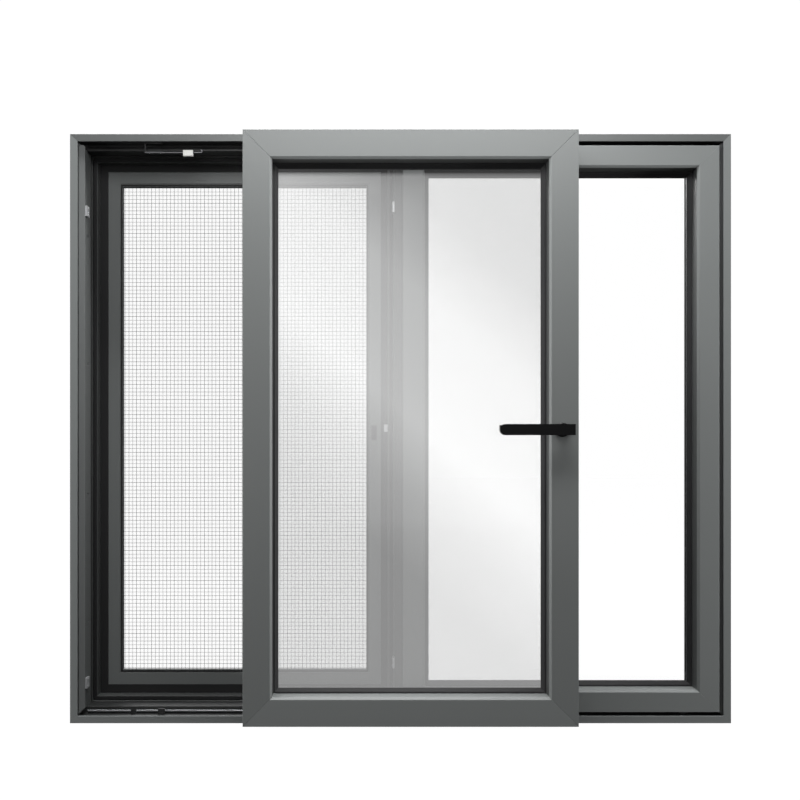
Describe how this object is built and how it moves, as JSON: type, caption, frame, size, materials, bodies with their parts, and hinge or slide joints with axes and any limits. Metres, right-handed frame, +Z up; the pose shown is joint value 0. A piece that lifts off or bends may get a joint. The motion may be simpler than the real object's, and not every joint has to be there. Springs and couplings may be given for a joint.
{
  "type": "casement window",
  "caption": "Aluminium window with a glazed sash that stands out on swinging arms and slides sideways past a fixed light, and a hinged insect screen.",
  "frame": {"origin": "middle of the sill's underside, on the plane of the wall-fixing screws", "axes": "+X to the right seen from the room, +Y outdoors, +Z up"},
  "size_m": [1.2, 0.2682, 1.07],
  "materials": {
    "frame_paint": "satin powder coat",
    "sash_paint": "satin powder coat",
    "screen_paint": "satin powder coat",
    "strip_paint": "satin powder coat, a shade lighter",
    "bare_aluminium": "mill finish",
    "zinc_steel": "zinc plated",
    "black_rubber": "matt EPDM",
    "black_plastic": "matt glass-filled polyamide",
    "black_handle": "satin black coat",
    "white_nylon": "natural nylon",
    "fixed_glass": "clear float",
    "sash_glass": "clear float with a pale coating",
    "screen_wire": "woven coated fibre"
  },
  "bodies": {
    "frame": {"frame_head": "frame_paint", "frame_sill": "frame_paint", "frame_jamb_left": "frame_paint", "frame_jamb_right": "frame_paint", "frame_mullion": "frame_paint", "outer_head": "frame_paint", "outer_sill": "frame_paint", "outer_jamb_left": "frame_paint", "outer_jamb_right": "frame_paint", "outer_mullion": "frame_paint", "thermal_breaks": "black_plastic", "corner_cleats": "bare_aluminium", "sill_rail": "zinc_steel", "head_track": "bare_aluminium", "jamb_strip": "strip_paint", "centre_gaskets": "black_rubber", "strike_plates": "zinc_steel", "frame_screws": "zinc_steel", "catch_base": "bare_aluminium", "catch_spring": "zinc_steel", "catch_block": "white_nylon", "run_buffers": "black_rubber", "drain_caps": "black_plastic", "fixed_rail_top": "frame_paint", "fixed_rail_bottom": "frame_paint", "fixed_stile_left": "frame_paint", "fixed_stile_right": "frame_paint", "fixed_panes": "fixed_glass", "fixed_spacer": "bare_aluminium", "fixed_gaskets": "black_rubber", "fixed_beads": "frame_paint"},
    "runners": {"bottom_runner": "zinc_steel", "top_runner": "white_nylon"},
    "left_arms": {"left_arms": "zinc_steel"},
    "right_arms": {"right_arms": "zinc_steel"},
    "sash": {"sash_rail_top": "sash_paint", "sash_rail_bottom": "sash_paint", "sash_stile_left": "sash_paint", "sash_stile_right": "sash_paint", "sash_panes": "sash_glass", "sash_spacer": "bare_aluminium", "sash_gaskets": "black_rubber", "sash_beads": "sash_paint", "sash_cleats": "bare_aluminium", "lock_gearbox": "zinc_steel", "arm_brackets": "zinc_steel", "handle_rose": "black_handle"},
    "handle": {"handle_lever": "black_handle"},
    "lock_left": {"lock_rod_left": "zinc_steel"},
    "lock_right": {"lock_rod_right": "zinc_steel"},
    "roller_left": {"roller_left": "white_nylon"},
    "roller_right": {"roller_right": "white_nylon"},
    "screen": {"screen_rail_top": "screen_paint", "screen_rail_bottom": "screen_paint", "screen_stile_left": "screen_paint", "screen_stile_right": "screen_paint", "screen_mesh": "screen_wire", "screen_spline": "black_rubber", "screen_pivots": "zinc_steel"},
    "screen_latch": {"screen_latch": "black_plastic"}
  },
  "joints": [
    {"name": "sash_slide", "type": "slide", "parent": "frame", "child": "runners", "axis": [1, 0, 0], "range_m": [-0.218, 0.27]},
    {"name": "arm_swing", "type": "hinge", "parent": "runners", "child": "left_arms", "pos_m": [-0.196, -0.0205, 0.0165], "axis": [0, 0, -1], "range_deg": [0, 28]},
    {"name": "right_arm_swing", "type": "hinge", "parent": "runners", "child": "right_arms", "pos_m": [0.224, -0.0205, 0.0165], "axis": [0, 0, -1], "range_deg": [0, 28]},
    {"name": "sash_pivot", "type": "hinge", "parent": "left_arms", "child": "sash", "pos_m": [-0.196, -0.104, 0.0165], "axis": [0, 0, -1], "range_deg": [-28, 0]},
    {"name": "handle_turn", "type": "hinge", "parent": "sash", "child": "handle", "pos_m": [0.2773, -0.154, 0.532], "axis": [0, -1, 0], "range_deg": [0, 90]},
    {"name": "lock_left_slide", "type": "slide", "parent": "sash", "child": "lock_left", "axis": [0, 0, -1], "range_m": [0, 0.018]},
    {"name": "lock_right_slide", "type": "slide", "parent": "sash", "child": "lock_right", "axis": [0, 0, -1], "range_m": [0, 0.018]},
    {"name": "roller_left_spin", "type": "hinge", "parent": "runners", "child": "roller_left", "pos_m": [-0.174, -0.013, 0.0236], "axis": [0, 1, 0], "continuous": true},
    {"name": "roller_right_spin", "type": "hinge", "parent": "runners", "child": "roller_right", "pos_m": [0.202, -0.013, 0.0236], "axis": [0, 1, 0], "continuous": true},
    {"name": "screen_swing", "type": "hinge", "parent": "frame", "child": "screen", "pos_m": [-0.557, 0.082, 0.04], "axis": [0, 0, 1], "range_deg": [0, 85]},
    {"name": "screen_latch_turn", "type": "hinge", "parent": "screen", "child": "screen_latch", "pos_m": [-0.046, 0.07, 0.537], "axis": [0, -1, 0], "range_deg": [0, 90]}
  ],
  "couplings": [
    {"joint": "right_arm_swing", "follows": "arm_swing", "ratio": 1},
    {"joint": "sash_pivot", "follows": "arm_swing", "ratio": -1},
    {"joint": "lock_left_slide", "follows": "handle_turn", "m_per_rad": 0.011459},
    {"joint": "lock_right_slide", "follows": "handle_turn", "m_per_rad": 0.011459},
    {"joint": "roller_left_spin", "follows": "sash_slide", "rad_per_m": 281.69},
    {"joint": "roller_right_spin", "follows": "sash_slide", "rad_per_m": 281.69}
  ]
}
